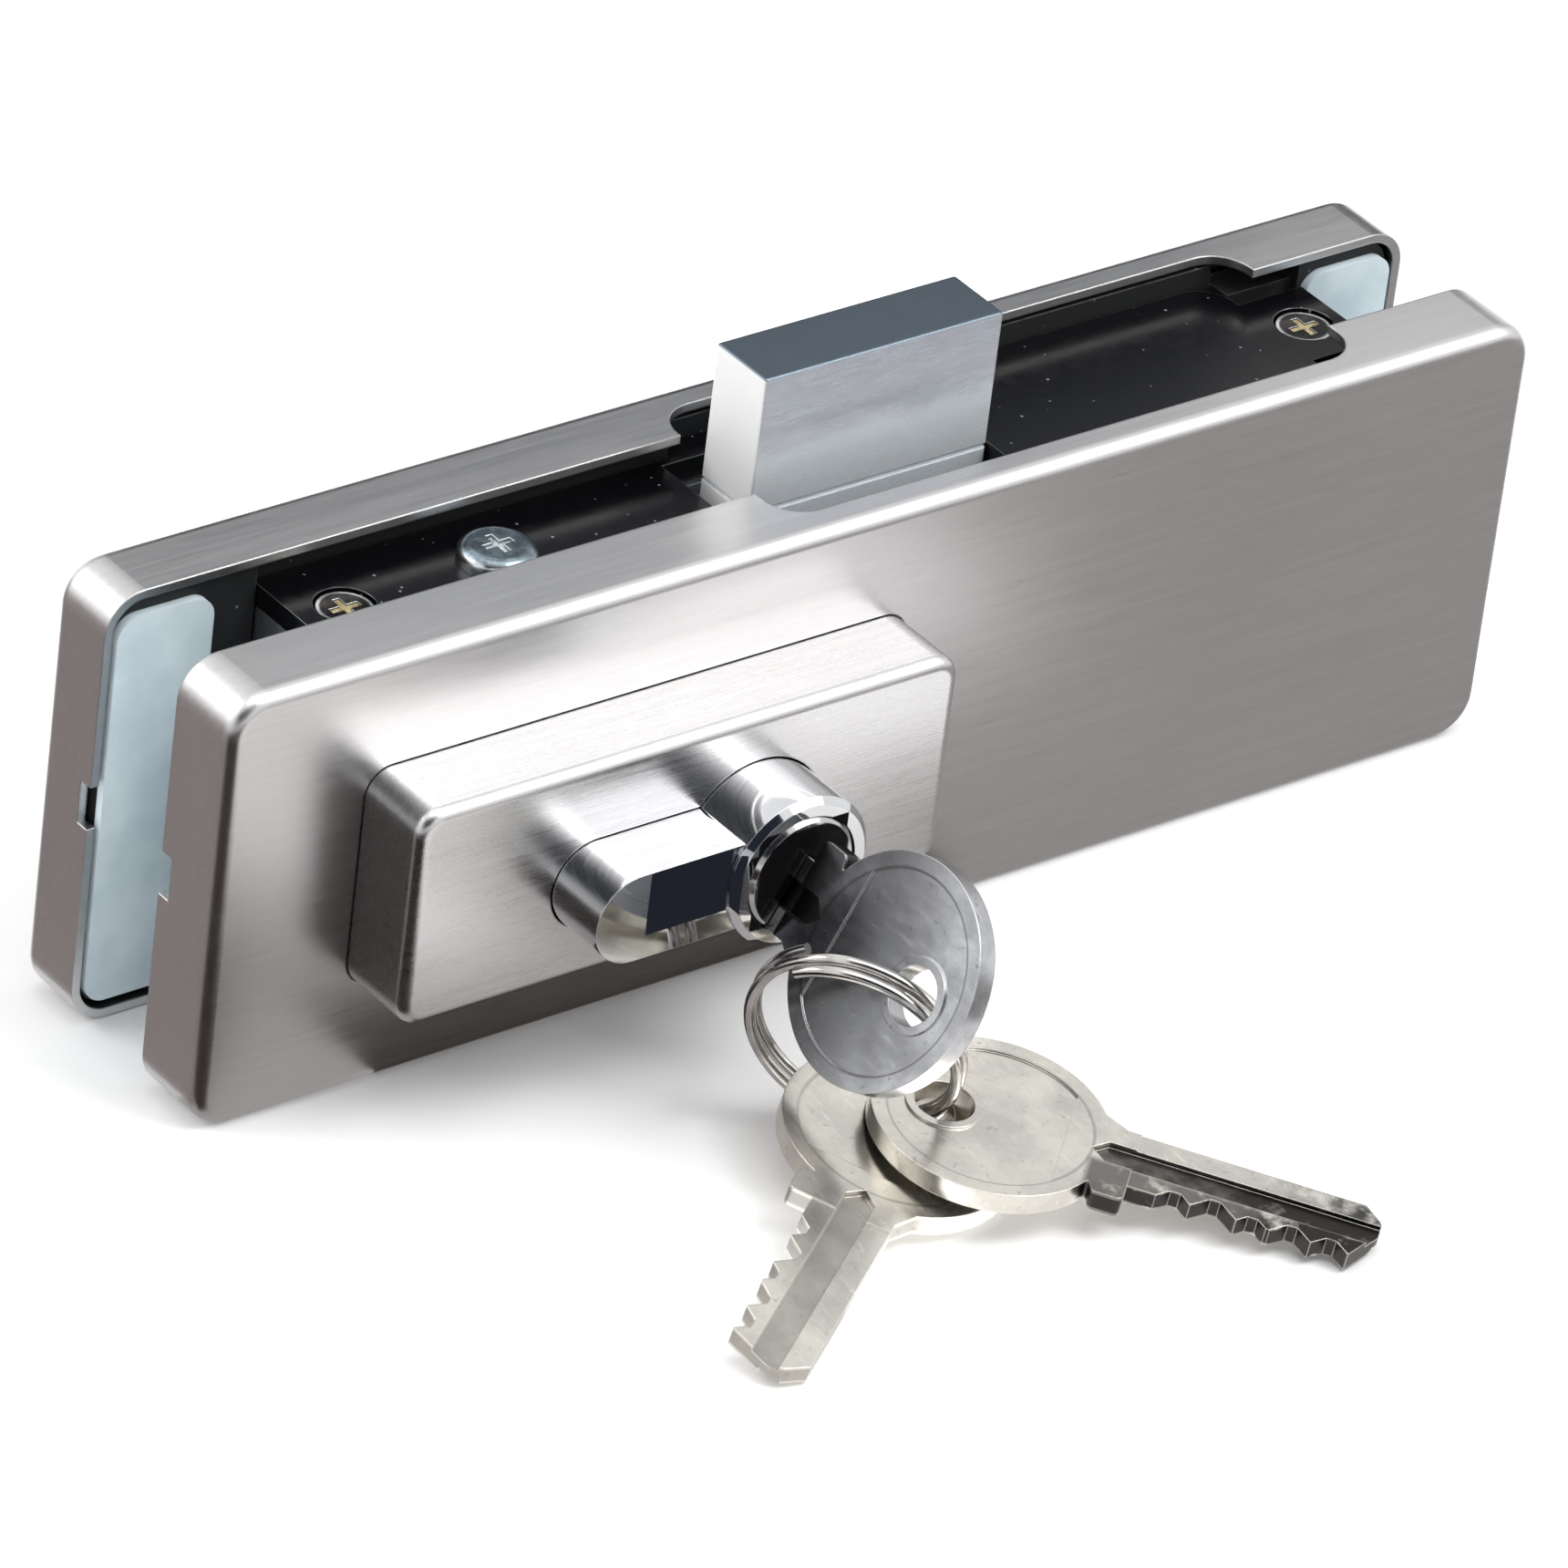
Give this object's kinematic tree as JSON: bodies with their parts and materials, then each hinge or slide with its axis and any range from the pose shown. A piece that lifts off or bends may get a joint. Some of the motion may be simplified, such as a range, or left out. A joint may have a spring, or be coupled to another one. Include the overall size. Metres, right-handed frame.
{
  "type": "glass door lock",
  "caption": "Edge-mounted lock for a frameless glass door, with a cylinder keyed from both faces, a sliding dead bolt and keys on a split ring.",
  "frame": {"origin": "on the middle plane of the glass gap, half way along the lock, level with the covers' long edges away from the bolt", "axes": "+X along the lock, away from the cylinder; +Y through the door from the key side to the rear; +Z the way the bolt comes out"},
  "size_m": [0.164, 0.1217, 0.0616],
  "materials": {
    "cover_stainless": "brushed along the length",
    "housing_stainless": "satin",
    "plate_casting": "as cast",
    "pad_fibre": "matt",
    "spring_steel": "blued",
    "case_zinc": "as cast",
    "forend_black": "black with fine speckles",
    "bolt_nickel": "satin nickel",
    "hard_steel": "ground",
    "cylinder_nickel": "polished nickel",
    "plug_nickel": "turned and plated",
    "pin_brass": "turned",
    "key_nickel": "worn nickel silver",
    "ring_steel": "bright wire",
    "screw_zinc": "zinc plated"
  },
  "bodies": {
    "lock_body": {"front_cover": "cover_stainless", "rear_cover": "cover_stainless", "front_housing": "housing_stainless", "rear_housing": "housing_stainless", "front_clamp_plate": "plate_casting", "rear_clamp_plate": "plate_casting", "front_glass_pads": "pad_fibre", "rear_glass_pads": "pad_fibre", "front_cover_clips": "spring_steel", "rear_cover_clips": "spring_steel", "lock_case": "case_zinc", "case_lid": "case_zinc", "forend_plate": "forend_black", "bolt_guide": "case_zinc", "bolt_stop": "case_zinc", "drag_plunger": "hard_steel", "drag_spring": "spring_steel", "cylinder_body": "cylinder_nickel", "rear_plug": "plug_nickel", "rear_clip_ring": "spring_steel", "rear_key_pins": "pin_brass", "front_driver_pins": "pin_brass", "rear_driver_pins": "pin_brass", "pin_springs": "spring_steel", "forend_screws": "screw_zinc", "cylinder_fixing_screw": "screw_zinc", "clamp_screws": "screw_zinc", "lid_screws": "screw_zinc"},
    "bolt": {"bolt": "bolt_nickel", "bolt_rollers": "hard_steel"},
    "plug": {"front_plug": "plug_nickel", "front_key_pins": "pin_brass", "front_clip_ring": "spring_steel", "cam": "hard_steel", "clutch": "hard_steel", "lock_key": "key_nickel"},
    "key_ring": {"split_ring": "ring_steel"},
    "first_spare": {"first_spare_key": "key_nickel"},
    "second_spare": {"second_spare_key": "key_nickel"}
  },
  "joints": [
    {"name": "plug_turn", "type": "hinge", "parent": "lock_body", "child": "plug", "pos_m": [-0.0232, 0, 0.0236], "axis": [0, 1, 0], "range_deg": [0, 73.7]},
    {"name": "bolt_slide", "type": "slide", "parent": "lock_body", "child": "bolt", "axis": [0, 0, 1], "range_m": [-0.015, 0]},
    {"name": "ring_swing", "type": "hinge", "parent": "plug", "child": "key_ring", "pos_m": [-0.02425, -0.0544, 0.02178], "axis": [0.866, 0, -0.5], "range_deg": [-45, 10]},
    {"name": "first_key_swing", "type": "hinge", "parent": "key_ring", "child": "first_spare", "pos_m": [-0.01928, -0.05428, 0.00687], "axis": [0.0392, -0.1312, 0.9906], "range_deg": [-45, 5]},
    {"name": "second_key_swing", "type": "hinge", "parent": "key_ring", "child": "second_spare", "pos_m": [-0.01992, -0.05086, 0.00448], "axis": [0.0637, -0.1954, 0.9786], "range_deg": [-15, 45]}
  ],
  "couplings": [
    {"joint": "plug_turn", "follows": "bolt_slide", "rad_per_m": -85.8}
  ]
}
